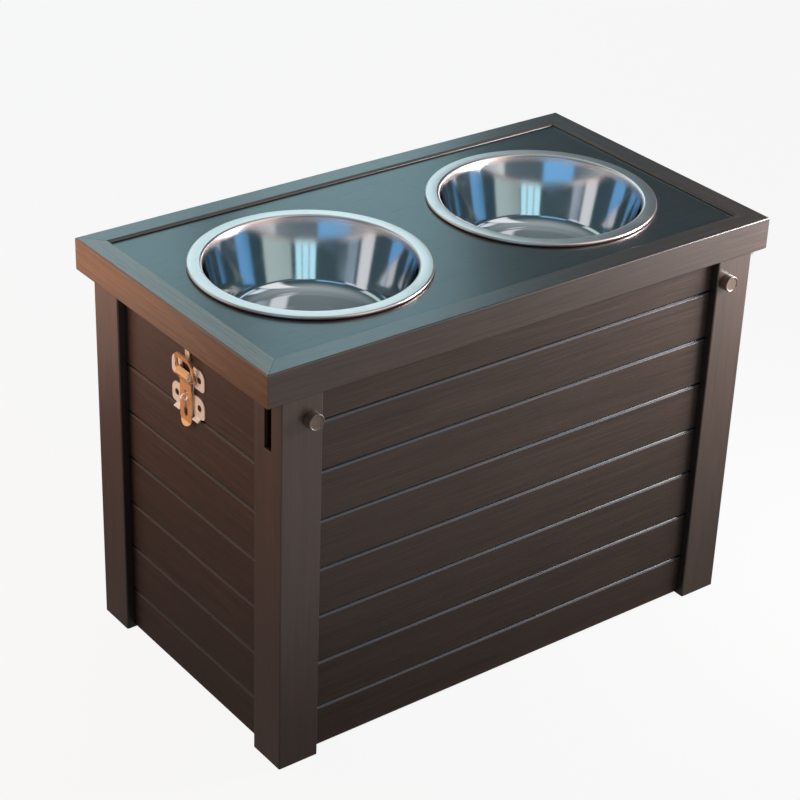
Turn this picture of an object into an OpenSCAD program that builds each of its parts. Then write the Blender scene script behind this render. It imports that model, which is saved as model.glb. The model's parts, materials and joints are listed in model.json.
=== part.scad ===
// Elevated dog feeder: two bowls in a hinged lid over a storage box.
// Sizes are in millimetres. X runs along the long side, the front faces -Y and +Z is up.
// The origin is on the floor, under the middle of the box.
// Grooved slats are stacked between four hollow corner posts, each wall locked by knobbed pins.
// A toggle latch on the left end pulls the lid down, and two butt hinges carry it at the right end.

/* [Box] */
// Height of the corner posts, which is the height of the lid's underside
post_h = 399; // [380:1:430]
// Side of the square corner posts
post_w = 44; // [42:1:48]
// Wall of the hollow corner posts
post_wall = 4.5; // [3.5:0.5:6]
// Rounding of the posts' long edges
post_round = 1.5; // [0.5:0.5:3]
// How far the lid reaches past the posts at each end
end_overhang = 17; // [16:0.5:24]
// How far the lid reaches past the posts at the front and the back
side_overhang = 3; // [1:0.5:6]
// How far the walls lie behind the posts' outer faces
wall_recess = 9; // [6.5:0.5:10]
// Height of the walls' lower edge over the floor
wall_lift = 3; // [2:0.5:6]
// Gap between the walls' upper edge and the lid
wall_drop = 0.5; // [0.3:0.1:1]

/* [Post slot] */
// Width of the open slot in the end face of the front left post
slot_w = 10.8; // [8:0.2:12]
// Height of that slot, from the top of the post
slot_h = 57; // [40:1:80]

/* [Slats] */
// Thickness of the wall slats
slat_t = 12; // [11:0.5:14]
// Height of the lowest slat
first_slat_h = 44; // [40:1:46]
// Height of the uppermost slat in each long wall, which the knobbed pins lock
top_slat_h = 36.5; // [34:0.5:44]
// Slats in each long wall
long_wall_slats = 8; // [8:1:8]
// Slats in each short wall, of which the uppermost is tall enough to carry the latch
short_wall_slats = 7; // [7:1:7]
// Bevel on both edges of a slat joint, which together show as a V groove
slat_bevel = 2.2; // [1:0.2:2.6]
// Height of the tongue on a slat's upper edge
tongue_h = 5; // [4:0.5:7]
// Thickness of that tongue
tongue_t = 4; // [3:0.5:5]
// Length of a slat's end inside its post
slat_end = 18; // [17:0.5:19]
// Play of a slat in its post and of a tongue in its groove
slat_play = 0.2; // [0.1:0.05:0.3]

/* [Floor] */
// Thickness of the floor board
floor_t = 8; // [6:0.5:10]
// Height of the floor board's underside over the walls' lower edge
floor_lift = 9; // [7:0.5:14]
// Depth of the floor board's edge in the lowest slats
floor_tongue = 4; // [3:0.5:5]
// Play of the floor board in its grooves and round the posts
floor_play = 0.3; // [0.2:0.1:0.5]

/* [Lid] */
// Length of the lid
lid_l = 600; // [580:5:680]
// Depth of the lid from front to back
lid_w = 330; // [320:5:360]
// Height of the lid's rails
rail_h = 34; // [30:1:36]
// Width of the lid's rails
rail_w = 24; // [23:0.5:27]
// Rounding of the rails' outer edges
rail_round = 1.5; // [0.5:0.5:3]
// Bevel of the rails' upper inner edge
rail_bevel = 2; // [1:0.5:2.5]
// Thickness of the lid's sunk panel
panel_t = 12; // [10:0.5:14]
// Depth of the panel's upper face below the rails' upper face
panel_drop = 3; // [2.5:0.5:6]
// Depth of the panel's edge in the rails
panel_tongue = 8; // [5:0.5:10]
// Play of the panel's edge in its groove
panel_play = 0.2; // [0.1:0.05:0.4]

/* [Bowls] */
// Distance between the middles of the bowls
bowl_spacing = 282; // [270:2:310]
// Radius of the bowl's rolled rim
rim_r = 117; // [112:1:122]
// Height of the rolled rim
rim_h = 3.8; // [3:0.2:5]
// Width of the flat rim
rim_w = 14; // [12:0.5:18]
// Bend radius where the rim turns down into the wall
rim_bend = 3; // [2:0.5:4]
// Inner depth of the bowl
bowl_depth = 72; // [60:1:90]
// Inner radius at which the wall would meet the base
bowl_base_r = 86; // [70:1:94]
// Inner radius of the bend between the wall and the base
bowl_bend = 14; // [8:1:20]
// Radius of the raised disc in the middle of the base
disc_r = 46; // [30:1:60]
// Height of the raised disc
disc_rise = 1.5; // [1:0.25:3]
// Thickness of the bowl's sheet
bowl_t = 1; // [0.8:0.1:1.4]
// Play between the bowl's wall and the hole in the lid
hole_play = 1.7; // [1:0.1:4]
// Gap between the rim and the panel that it rests on
seat_gap = 0.2; // [0.1:0.05:0.3]

/* [Knobbed pins] */
// Distance from the pin's axis to the end face of its post
pin_in = 31.7; // [30:0.1:33]
// Distance from the top of the post down to the pin's axis
pin_drop = 25; // [22:0.5:27]
// Radius of the knob
knob_r = 8.35; // [7:0.05:9.5]
// Height of the knob
knob_h = 8.5; // [6:0.5:12]
// Depth of the dish in the knob's face
knob_dish = 0.7; // [0.3:0.1:1.2]
// Radius of the pin's shank
pin_r = 4; // [3:0.25:5]
// Play between the shank and its bores
pin_play = 0.08; // [0.04:0.02:0.1]
// How far the shank reaches past the wall that it locks
pin_past = 4; // [2:0.5:8]

/* [Latch] */
// Shift of the latch from the middle of the end wall, towards the back
latch_y = 4.5; // [0:0.5:20]
// Distance from the lid's underside down to the lever's pivot
latch_drop = 47.5; // [46:0.5:54]
// Thickness of the latch's sheet steel
latch_t = 1.2; // [1:0.1:1.4]
// Distance from the wall to the lever's pivot
pivot_out = 6; // [5.8:0.1:6.6]
// Radius of the latch's pivot pin and of the loop's round bar
latch_pin_r = 1.4; // [1.2:0.1:1.5]
// Play of the lever on its pivot and of the loop's bar in the lever
latch_play = 0.06; // [0.03:0.01:0.1]
// Half the distance between the latch's screws across the latch
ear_y = 19.5; // [19:0.5:24]
// Distance between the latch's screws along the latch
ear_z = 29.3; // [27:0.1:33]
// Width of the latch's plate
plate_w = 56.4; // [53:0.2:58]
// Height of each of the plate's two bands
band_h = 21.2; // [18:0.2:22]
// Width of the lever
lever_w = 19.4; // [17:0.2:19.6]
// Distance from the lever's pivot down to its tip
lever_l = 54.5; // [50:0.5:58]
// Thickness of the lever's strap
lever_t = 1.5; // [1.2:0.1:1.6]
// Distance from the wall to the outer face of the lever's strap
strap_out = 4.1; // [4:0.1:4.6]
// Width of the loop's window
loop_window_w = 23.4; // [22.8:0.2:25]
// Width of the loop's legs
loop_leg_w = 3.2; // [3:0.1:4.4]
// Thickness of the loop's plate
loop_t = 1.6; // [1.4:0.1:2]
// Height of the loop's upper bar
loop_bar_h = 5.5; // [4:0.5:6]
// Rounding of the loop's upper corners
loop_round = 9; // [6:0.5:10]
// Gap between the loop's upper bar and the strike's lip, with the loop unhooked
unhooked_gap = 0.6; // [0.5:0.1:1]
// Radius of the hole in the padlock eye
eye_hole_r = 2.9; // [2.6:0.1:3]

/* [Strike] */
// Thickness of the strike's sheet steel
strike_t = 1.2; // [1:0.1:1.3]
// Distance from the lid's underside down to the bottom of the strike's hook
strike_drop = 35.5; // [34:0.5:36.5]
// Width of the strike's hook
hook_w = 7.4; // [6:0.2:14]
// Height of the hook's lip
hook_h = 6; // [5:0.1:7]
// Outer reach of the hook
hook_reach = 4.4; // [4.2:0.1:5]

/* [Hinges] */
// Distance from the box's side faces in to the middle of each hinge
hinge_in = 22; // [21:0.5:24]
// Length of a hinge along its pin
hinge_l = 38; // [36:0.5:39]
// Outer radius of the hinge's knuckles
knuckle_r = 3; // [2.8:0.1:3.6]
// Radius of the hinge's pin
hinge_pin_r = 1.5; // [1.2:0.1:1.8]
// Thickness of the hinge's leaves
leaf_t = 1.5; // [1.2:0.1:1.8]
// Length of the leaf on the post, from the pin down
post_leaf_l = 38; // [34:1:50]
// Length of the leaf under the lid, from the pin outwards
lid_leaf_l = 13.2; // [12.4:0.2:13.4]
// Gap between the knuckles, and round them
knuckle_gap = 0.25; // [0.15:0.05:0.4]

/* [Screws] */
// Radius of a screw's countersunk head
screw_head_r = 3.4; // [3:0.1:3.6]
// Radius of a screw's shank
screw_r = 1.7; // [1.4:0.1:1.9]
// Length of the screws in the walls and the lid
screw_l = 10; // [8:0.5:11]
// Length of the screws in the hollow posts
short_screw_l = 7; // [6:0.5:7]

/* [Hidden] */
$fn = 64;
arc_steps = 6;
knuckles = 5;
cut = 1;

// Outer sizes of the box and places of its walls
box_l = lid_l - 2 * end_overhang;
box_w = lid_w - 2 * side_overhang;
wall_x = box_l / 2 - wall_recess;
wall_y = box_w / 2 - wall_recess;
post_x = box_l / 2 - post_w;
post_y = box_w / 2 - post_w;
wall_top = post_h - wall_drop;
slat_pitch = (wall_top - wall_lift - first_slat_h - top_slat_h) / (long_wall_slats - 2);
long_slat_l = 2 * (post_x + slat_end);
short_slat_l = 2 * (post_y + slat_end);
floor_z = wall_lift + floor_lift;
pin_z = post_h - pin_drop;
pin_l = wall_recess + slat_t + pin_past;

// Heights in the lid
lid_top = post_h + rail_h;
panel_top = lid_top - panel_drop;
panel_z = panel_top - panel_t;
rim_z = panel_top + seat_gap + rim_h;
hole_r = rim_r - rim_w + bowl_t + hole_play;

// The latch: its own X points out of the wall, and its Z is the feeder's Z
pivot_z = post_h - latch_drop;
pivot = [pivot_out, pivot_z];
hump_r = 3.4;
fold_up = 142;
fold_down = 236;
cover_l = 3.9;
bar_in = 3.3;
bar_down = 4.5;
bar = pivot - [bar_in, bar_down];
bar_barrel_r = latch_pin_r + 1;
ear_hi_z = pivot_z + 0.5;
ear_lo_z = ear_hi_z - ear_z;
web_w = 18;
band_round_high = 8.5;
band_round_low = 4.5;
notch_drop = 7.6;
lip_in = 11;
lip_out = 21;
lip_drop = 12.3;
lip_z = ear_lo_z - lip_drop;
lip_reach = 4;
lip_fall = 2.6;
lip_bend = 2.2;
cheek_r = 3.2;
cheek_high = [75, 5.9];
cheek_low = [-95, -2.1];
cheek_gap = 0.15;
cheek_y = lever_w / 2 + cheek_gap;
rivet_head_t = 0.3;
rivet_head_r = 2.2;
tip_z = pivot_z - lever_l;
tip_kick = 1.9;
tip_h = 4.5;
slot_up = 9.5;
slot_l = 27.5;
slot_bottom = tip_z + slot_up;
slot_top = slot_bottom + slot_l;
slot_wide = 7.6;
slot_narrow = 6;
eye_t = 2.4;
eye_r = 4.1;
eye_out = 5.3;
eye_drop = 7;
eye_z = slot_top - eye_drop;

// The strike and the loop that reaches it
strike_in = 0.5;
strike_out = 21;
strike_flange_w = 30;
strike_side_h = 5;
strike_taper_h = 5;
strike_bend = 1.9;
strike_screw_out = 13;
strike_screw_y = 10;
hook_z = post_h - strike_drop;
hook_out = strike_in + hook_reach;
lip_top = hook_z + hook_h;
loop_reach = [hook_out + unhooked_gap + loop_t / 2, lip_top - hook_h / 2] - bar;
loop_lean = atan2(loop_reach[0], loop_reach[1]);
loop_l = norm(loop_reach);
loop_w = loop_window_w + 2 * loop_leg_w;
loop_window_round = 4.5;

// The hinges
hinge_x = box_l / 2 + knuckle_r + knuckle_gap;
hinge_y = box_w / 2 - hinge_in;
hinge_z = post_h - knuckle_r - knuckle_gap;
leaf_side = 7;
leaf_foot = 11;
leaf_edge = 5;
hinge_screw_y = hinge_l / 2 - leaf_side;
post_screw_high = 12;
post_screw_low = post_leaf_l - leaf_foot;
lid_screw_out = lid_leaf_l - leaf_edge;
knuckle_l = hinge_l / knuckles;
hinge_bore_play = 0.05;
pressed_play = 0.02;

wood = "#4a342a";
wood_dark = "#3c2a22";
wood_top = "#46413f";
steel = "#d3d6d8";
plated = "#c9bca6";

function numbered(stem, n) = [for (i = [1:n]) str(stem, i)];
CORNERS = [["front_left", 0, 0], ["front_right", 1, 0], ["rear_left", 0, 1], ["rear_right", 1, 1]];

// Unit vector along v
function unit(v) = v / norm(v);

// Points of an arc of radius r that rounds the corner p between a and b
function round_corner(a, p, b, r) =
    let (u = unit(a - p), w = unit(b - p), half = acos(u * w) / 2)
    let (c = p + unit(u + w) * r / sin(half), s = p + u * r / tan(half) - c, e = p + w * r / tan(half) - c)
    let (start = atan2(s[1], s[0]), turn = (atan2(e[1], e[0]) - start + 540) % 360 - 180)
    [for (i = [0:arc_steps]) c + r * [cos(start + turn * i / arc_steps), sin(start + turn * i / arc_steps)]];

// Path through points [x, y, radius], each corner rounded by its radius, open at both ends
function rounded_path(p) = let (n = len(p), q = [for (v = p) [v[0], v[1]]])
    [for (i = [0:n - 1]) each i > 0 && i < n - 1 && p[i][2] > 0
        ? round_corner(q[i - 1], q[i], q[i + 1], p[i][2]) : [q[i]]];

// Closed outline through points [x, y, radius], each corner rounded by its radius
function rounded_outline(p) = let (n = len(p), q = [for (v = p) [v[0], v[1]]])
    [for (i = [0:n - 1]) each p[i][2] > 0
        ? round_corner(q[(i + n - 1) % n], q[i], q[(i + 1) % n], p[i][2]) : [q[i]]];

// Normal to the left of the step from a to b
function left_normal(a, b) = let (d = unit(b - a)) [-d[1], d[0]];

// Point number i of a path, moved to its left by t and mitred
function moved(p, i, t) = let (n = len(p))
    let (before = i == 0 ? left_normal(p[0], p[1]) : left_normal(p[i - 1], p[i]))
    let (after = i == n - 1 ? before : left_normal(p[i], p[i + 1]), m = unit(before + after))
    p[i] + m * t / (m * before);

// Outline of sheet of thickness t that lies to the left of a path
function sheet(p, t) = concat(p, [for (i = [len(p) - 1:-1:0]) moved(p, i, t)]);

// Lays a flat outline of [X, Z] points upright and extrudes it along Y, centred
module along_y(length) {
    rotate([90, 0, 0]) linear_extrude(length, center = true) children();
}

// Lays a flat outline of [Y, Z] points upright and extrudes it along X from zero
module along_x(length) {
    rotate([90, 0, 90]) linear_extrude(length) children();
}

// Cylinder along Y, centred on [x, z]
module rod_y(p, r, length) {
    translate([p[0], 0, p[1]]) rotate([90, 0, 0]) cylinder(r = r, h = length, center = true);
}

// Puts a shape for the left front corner at the corner that right and rear name
module at_corner(right, rear) {
    mirror([right, 0, 0]) mirror([0, rear, 0]) translate([-box_l / 2, -box_w / 2, 0]) children();
}

// Countersunk screw whose head is flush with z = 0 and whose shank points down
module screw(length) {
    head_h = screw_head_r - screw_r;
    rotate_extrude() polygon([
        [0, 0], [screw_head_r, 0], [screw_r, -head_h], [screw_r, screw_r - length], [0, -length]
    ]);
}

// Hole for such a screw through sheet of thickness t, with its countersink
module screw_hole(t) {
    play = 0.1;
    bore = screw_r + play;
    rotate_extrude() polygon([
        [0, cut], [screw_head_r + play + cut, cut], [bore, bore - screw_head_r - play],
        [bore, -t - cut], [0, -t - cut]
    ]);
}

// Height of joint number k between the slats of a wall, where 0 is the wall's lower edge
function joint_z(k) = k == 0 ? wall_lift : wall_lift + first_slat_h + (k - 1) * slat_pitch;

// Cross-section of slat number k of n, as [depth from the outer face, height]
function slat_section(k, n) =
    let (low = joint_z(k - 1), high = k == n ? wall_top : joint_z(k))
    let (mid = slat_t / 2, half = tongue_t / 2, wide = half + slat_play, b = slat_bevel)
    concat(
        k == 1 ? [[0, low]] : [[b, low], [0, low + b]],
        k == n ? [[0, high]] : [[0, high - b], [b, high]],
        k == n ? [] : [[mid - half, high], [mid - half, high + tongue_h]],
        k == n ? [] : [[mid + half, high + tongue_h], [mid + half, high]],
        [[slat_t, high]],
        k > 1 ? [] : [
            [slat_t, floor_z + floor_t + floor_play],
            [slat_t - floor_tongue - floor_play, floor_z + floor_t + floor_play],
            [slat_t - floor_tongue - floor_play, floor_z],
            [slat_t, floor_z]
        ],
        [[slat_t, low]],
        k == 1 ? [] : [[mid + wide, low], [mid + wide, low + tongue_h + slat_play]],
        k == 1 ? [] : [[mid - wide, low + tongue_h + slat_play], [mid - wide, low]]
    );

// One slat of the front wall
module front_slat(k) {
    color(k % 2 == 0 ? wood : wood_dark) difference() {
        translate([-long_slat_l / 2, -wall_y, 0])
            along_x(long_slat_l) polygon(slat_section(k, long_wall_slats));
        if (k == long_wall_slats) {
            for (right = [0, 1]) at_corner(right, 0) pin_bore();
        }
    }
}

// One slat of the left wall, whose uppermost takes the latch's screws
module left_slat(k, latched) {
    color(k % 2 == 0 ? wood : wood_dark) difference() {
        translate([-wall_x, 0, 0]) along_y(short_slat_l) polygon(slat_section(k, short_wall_slats));
        if (latched && k == short_wall_slats) {
            latch_screws_at() screw_pilot(screw_l);
        }
    }
}

// Pilot hole that a screw's shank cuts into
module screw_pilot(length) {
    thread = 0.3;
    translate([0, 0, -length - cut / 2]) cylinder(r = screw_r - thread, h = length + cut / 2);
}

// Bore for a knobbed pin, at the left front corner
module pin_bore() {
    translate([pin_in, -cut, pin_z]) rotate([-90, 0, 0])
        cylinder(r = pin_r + pin_play, h = pin_l + cut);
}

// Hollow corner post with a slot for each of its two walls, closed at the foot by a sill
module corner_post(open_slot) {
    inner = post_w - 2 * post_wall;
    slat_slot = slat_t + 2 * slat_play;
    r = post_round;
    w = post_w;
    difference() {
        linear_extrude(post_h) difference() {
            polygon(rounded_outline([[0, 0, r], [w, 0, r], [w, w, r], [0, w, r]]));
            translate([post_wall, post_wall]) square(inner);
        }
        translate([post_w - post_wall - cut, wall_recess - slat_play, wall_lift])
            cube([post_wall + 2 * cut, slat_slot, post_h]);
        translate([wall_recess - slat_play, post_w - post_wall - cut, wall_lift])
            cube([slat_slot, post_wall + 2 * cut, post_h]);
        translate([pin_in, -cut, pin_z]) rotate([-90, 0, 0])
            cylinder(r = pin_r + pin_play, h = post_wall + 2 * cut);
        if (open_slot) {
            translate([-cut, (post_w - slot_w) / 2, post_h - slot_h])
                cube([post_wall + 2 * cut, slot_w, slot_h + cut]);
        }
    }
}

// Knobbed pin at the left front corner, pushed through the post and the wall's top slat
module knobbed_pin() {
    dish_r = 0.75 * knob_r;
    dish_bend = 4;
    rim = 0.9;
    nose = 1;
    head = rounded_path([
        [0, knob_dish - knob_h, 0], [dish_r, knob_dish - knob_h, dish_bend],
        [knob_r - rim, -knob_h, rim], [knob_r, -knob_h, rim], [knob_r, 0, 0]
    ]);
    shank = [[pin_r, 0], [pin_r, pin_l - nose], [pin_r - nose, pin_l], [0, pin_l]];
    translate([pin_in, 0, pin_z]) rotate([-90, 0, 0])
        rotate_extrude() polygon(concat(head, shank));
}

// Floor board, notched round the posts and let into the lowest slats
module floor_board() {
    reach = floor_tongue - slat_t;
    color(wood_dark) for (size = [
        [2 * (wall_x + reach), 2 * (post_y - floor_play)],
        [2 * (post_x - floor_play), 2 * (wall_y + reach)]
    ]) translate([-size[0] / 2, -size[1] / 2, floor_z]) cube([size[0], size[1], floor_t]);
}

// Cross-section of a lid rail, as [depth from the outer face, height over its underside]
function rail_section() =
    let (top = rail_h - panel_drop, r = rail_round, in = rail_w - panel_tongue - panel_play)
    rounded_outline([
        [0, 0, r], [0, rail_h, r], [rail_w - rail_bevel, rail_h, 0], [rail_w, rail_h - rail_bevel, 0],
        [rail_w, top + panel_play, 0], [in, top + panel_play, 0],
        [in, top - panel_t, 0], [rail_w, top - panel_t, 0], [rail_w, 0, 0]
    ]);

// Lid rail of the given length along X, mitred at both ends, with its outer face on y = 0
module rail(length) {
    translate([0, 0, post_h]) difference() {
        translate([-length / 2, 0, 0]) along_x(length) polygon(rail_section());
        for (side = [0, 1]) mirror([side, 0, 0]) translate([-length / 2, 0, -cut]) rotate([0, 0, 45])
            translate([-cut, 0, 0]) cube([3 * rail_w, 3 * rail_w, rail_h + 2 * cut]);
    }
}

// Rail along the front of the lid
module front_rail() {
    translate([0, -lid_w / 2, 0]) rail(lid_l);
}

// Rail along the left end of the lid
module left_rail() {
    translate([-lid_l / 2, 0, 0]) rotate([0, 0, -90]) rail(lid_w);
}

// Sunk panel of the lid, with a hole for each bowl
module lid_panel() {
    size = [lid_l, lid_w] - [1, 1] * 2 * (rail_w - panel_tongue);
    color(wood_top) difference() {
        translate([-size[0] / 2, -size[1] / 2, panel_z]) cube([size[0], size[1], panel_t]);
        for (side = [-1, 1]) translate([side * bowl_spacing / 2, 0, panel_z - cut])
            cylinder(r = hole_r, h = panel_t + 2 * cut, $fn = 128);
    }
}

// Steel bowl with a flat rim, rolled at its edge, round a raised disc in the base
module bowl(side) {
    curl = rim_h / 2 - 0.05;
    disc_slope = 2;
    disc_bend = 3;
    path = rounded_path([
        [rim_r - rim_h, -rim_h, 0], [rim_r, -rim_h, curl], [rim_r, 0, curl], [rim_r - rim_w, 0, rim_bend],
        [bowl_base_r, -bowl_depth, bowl_bend], [disc_r + disc_slope, -bowl_depth, disc_bend],
        [disc_r - disc_slope, disc_rise - bowl_depth, disc_bend], [0, disc_rise - bowl_depth, 0]
    ]);
    color(steel) translate([side * bowl_spacing / 2, 0, rim_z])
        rotate_extrude($fn = 128) polygon(sheet(path, bowl_t));
}

// Puts a shape made in the latch's own frame on the outside of the left wall
module on_left_wall() {
    translate([-wall_x, latch_y, 0]) mirror([1, 0, 0]) children();
}

// Four ear screws of the latch, in place on the left wall
module latch_screws_at() {
    on_left_wall() for (y = [-ear_y, ear_y], z = [ear_lo_z, ear_hi_z])
        translate([latch_t, y, z]) rotate([0, 90, 0]) children();
}

// Outline of the latch plate: two bands with a screw in each end, joined by a web, as [Y, Z]
module latch_plate_outline() {
    half = plate_w / 2;
    for (z = [ear_lo_z, ear_hi_z]) polygon(rounded_outline([
        [-half, z - band_h / 2, band_round_low], [half, z - band_h / 2, band_round_low],
        [half, z + band_h / 2, band_round_high], [-half, z + band_h / 2, band_round_high]
    ]));
    translate([-web_w / 2, ear_lo_z]) square([web_w, ear_z]);
}

// Cross-section of a lip below the plate, bent away from the wall, as [distance from the wall, Z]
function lip_section() = sheet(rounded_path([
    [0, ear_lo_z, 0], [0, lip_z, lip_bend], [lip_reach, lip_z - lip_fall, 0]
]), latch_t);

// Outline of a cheek that holds the lever's pivot, as [distance from the wall, Z]
module cheek_outline() {
    above = pivot + cheek_r * [cos(cheek_high[0]), sin(cheek_high[0])];
    below = pivot + cheek_r * [cos(cheek_low[0]), sin(cheek_low[0])];
    polygon([[0, pivot_z + cheek_low[1]], below, pivot, above, [0, pivot_z + cheek_high[1]]]);
    translate(pivot) circle(r = cheek_r);
}

// Base plate of the latch: its bands and lips, cheeks bent out of its notch and a padlock eye
module latch_plate() {
    lip_w = lip_out - lip_in;
    color(plated) difference() {
        on_left_wall() {
            difference() {
                along_x(latch_t) latch_plate_outline();
                translate([-cut, -cheek_y, pivot_z - notch_drop])
                    cube([latch_t + 2 * cut, 2 * cheek_y, band_h]);
            }
            for (side = [0, 1]) mirror([0, side, 0]) {
                translate([0, lip_in + lip_w / 2, 0]) along_y(lip_w) polygon(lip_section());
                translate([0, cheek_y + latch_t / 2, 0]) along_y(latch_t) difference() {
                    cheek_outline();
                    translate(pivot) circle(r = latch_pin_r + pressed_play);
                }
            }
            along_y(eye_t) difference() {
                union() {
                    translate([0, eye_z - eye_r]) square([eye_out, 2 * eye_r]);
                    translate([eye_out, eye_z]) circle(r = eye_r);
                }
                translate([eye_out, eye_z]) circle(r = eye_hole_r);
            }
        }
        latch_screws_at() screw_hole(latch_t);
    }
}

// Riveted pin on which the lever turns
module latch_pivot() {
    shoulder = 2 * (cheek_y + latch_t);
    color(plated) on_left_wall() {
        rod_y(pivot, latch_pin_r, shoulder);
        for (side = [-1, 1]) translate([0, side * (shoulder + rivet_head_t) / 2, 0])
            rod_y(pivot, rivet_head_r, rivet_head_t);
    }
}

// Outline of the lever seen from outside: a strap with a round tip, as [Y, Z]
module lever_front() {
    half = lever_w / 2;
    translate([-half, tip_z + half]) square([lever_w, lever_l + 2 * hump_r]);
    translate([0, tip_z + half]) circle(r = half);
}

// Keyhole slot that lets the padlock eye through the lever, as [Y, Z]
module keyhole() {
    wide_z = slot_top - slot_wide / 2;
    narrow_z = slot_bottom + slot_narrow / 2;
    step_z = slot_top - slot_l / 2;
    translate([0, wide_z]) circle(r = slot_wide / 2);
    translate([-slot_wide / 2, step_z]) square([slot_wide, wide_z - step_z]);
    translate([-slot_narrow / 2, narrow_z]) square([slot_narrow, step_z - narrow_z + cut]);
    translate([0, narrow_z]) circle(r = slot_narrow / 2);
}

// Lever: a strap folded round its pivot, with a barrel behind the fold for the loop's bar
module latch_lever() {
    up = [cos(fold_up), sin(fold_up)];
    down = [cos(fold_down), sin(fold_down)];
    fold = pivot - unit(up + down) * hump_r / sin((fold_down - fold_up) / 2);
    cover = fold + up * (cover_l + hump_r);
    bend = fold + down * (fold[0] - strap_out) / -down[0];
    bend_r = 3;
    tip_r = 4;
    path = rounded_path([
        [cover[0], cover[1], 0], [fold[0], fold[1], hump_r], [bend[0], bend[1], bend_r],
        [strap_out, tip_z + tip_h, tip_r], [strap_out + tip_kick, tip_z, 0]
    ]);
    color(plated) on_left_wall() difference() {
        intersection() {
            union() {
                along_y(lever_w) polygon(sheet(path, -lever_t));
                rod_y(pivot, hump_r - 0.05, lever_w);
                rod_y(bar, bar_barrel_r, lever_w);
            }
            along_x(4 * pivot_out) lever_front();
        }
        rod_y(pivot, latch_pin_r + latch_play, lever_w + 2 * cut);
        rod_y(bar, latch_pin_r + latch_play, lever_w + 2 * cut);
        translate([-cut, 0, 0]) along_x(4 * pivot_out) keyhole();
    }
}

// Loop: a stamped ring that turns on a round bar in the lever and leans out to the strike
module latch_loop() {
    half = loop_w / 2;
    inner = loop_window_w / 2;
    foot = -latch_pin_r;
    foot_r = 1;
    top = loop_l + loop_bar_h;
    color(plated) on_left_wall() translate([bar[0], 0, bar[1]]) rotate([0, loop_lean, 0]) {
        translate([-loop_t / 2, 0, 0]) along_x(loop_t) difference() {
            polygon(rounded_outline([
                [-half, foot, foot_r], [half, foot, foot_r],
                [half, top, loop_round], [-half, top, loop_round]
            ]));
            polygon(rounded_outline([
                [-inner, foot - cut, 0], [inner, foot - cut, 0],
                [inner, loop_l, loop_window_round], [-inner, loop_l, loop_window_round]
            ]));
        }
        rod_y([0, 0], latch_pin_r, loop_w);
    }
}

// Strike: a flange under the lid's rail and a leg that ends in an upturned hook
module latch_strike() {
    r = strike_bend;
    half = strike_flange_w / 2;
    taper_top = post_h - strike_side_h;
    taper_foot = taper_top - strike_taper_h;
    path = rounded_path([
        [strike_out, post_h, 0], [strike_in, post_h, r], [strike_in, hook_z, r],
        [hook_out, hook_z, r], [hook_out, lip_top, 0]
    ]);
    color(plated) difference() {
        on_left_wall() intersection() {
            along_y(strike_flange_w) polygon(sheet(path, strike_t));
            along_x(strike_out) union() {
                translate([-hook_w / 2, hook_z]) square([hook_w, strike_drop]);
                polygon([
                    [-half, post_h], [-half, taper_top], [-hook_w / 2, taper_foot],
                    [hook_w / 2, taper_foot], [half, taper_top], [half, post_h]
                ]);
            }
        }
        strike_screws_at() screw_hole(strike_t);
    }
}

// Two screws of the strike, in place under the left rail
module strike_screws_at() {
    on_left_wall() for (y = [-strike_screw_y, strike_screw_y])
        translate([strike_screw_out, y, post_h - strike_t]) mirror([0, 0, 1]) children();
}

// Range along Y of knuckle number i, counted from the hinge's middle
module knuckle_zone(i, r, gap) {
    translate([0, (i - (knuckles - 1) / 2) * knuckle_l, 0])
        rod_y([hinge_x, hinge_z], r, knuckle_l + gap);
}

// Places on the post, from the hinge's middle, of its leaf's three screws
module post_leaf_screws_at() {
    for (p = [[-hinge_screw_y, post_screw_high], [hinge_screw_y, post_screw_high], [0, post_screw_low]])
        translate([box_l / 2 + leaf_t, p[0], hinge_z - p[1]]) rotate([0, 90, 0]) children();
}

// Places under the lid, from the hinge's middle, of its leaf's three screws
module lid_leaf_screws_at() {
    for (y = [-hinge_screw_y, 0, hinge_screw_y])
        translate([hinge_x + lid_screw_out, y, post_h - leaf_t]) mirror([0, 0, 1]) children();
}

// Leaf on the post's end face, with knuckles 0, 2 and 4
module post_leaf() {
    color(plated) difference() {
        union() {
            difference() {
                translate([box_l / 2, -hinge_l / 2, hinge_z - post_leaf_l])
                    cube([leaf_t, hinge_l, post_leaf_l]);
                for (i = [1, 3]) knuckle_zone(i, knuckle_r + knuckle_gap, knuckle_gap);
            }
            for (i = [0, 2, 4]) knuckle_zone(i, knuckle_r, -knuckle_gap);
        }
        rod_y([hinge_x, hinge_z], hinge_pin_r + pressed_play, hinge_l + 2 * cut);
        post_leaf_screws_at() screw_hole(leaf_t);
    }
}

// Leaf under the lid's right rail, with knuckles 1 and 3
module lid_leaf() {
    color(plated) difference() {
        union() {
            difference() {
                translate([hinge_x, -hinge_l / 2, post_h - leaf_t]) cube([lid_leaf_l, hinge_l, leaf_t]);
                for (i = [0, 2, 4]) knuckle_zone(i, knuckle_r + knuckle_gap, knuckle_gap);
            }
            for (i = [1, 3]) knuckle_zone(i, knuckle_r, -knuckle_gap);
        }
        rod_y([hinge_x, hinge_z], hinge_pin_r + hinge_bore_play, hinge_l + 2 * cut);
        lid_leaf_screws_at() screw_hole(leaf_t);
    }
}

// Headed pin of a hinge
module hinge_pin() {
    head = 0.8;
    color(plated) {
        rod_y([hinge_x, hinge_z], hinge_pin_r, hinge_l);
        for (side = [-1, 1]) translate([0, side * (hinge_l + head) / 2, 0])
            rod_y([hinge_x, hinge_z], hinge_pin_r + head, head);
    }
}

// Screws of the latch plate
module latch_screws() {
    color(steel) latch_screws_at() screw(screw_l);
}

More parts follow.
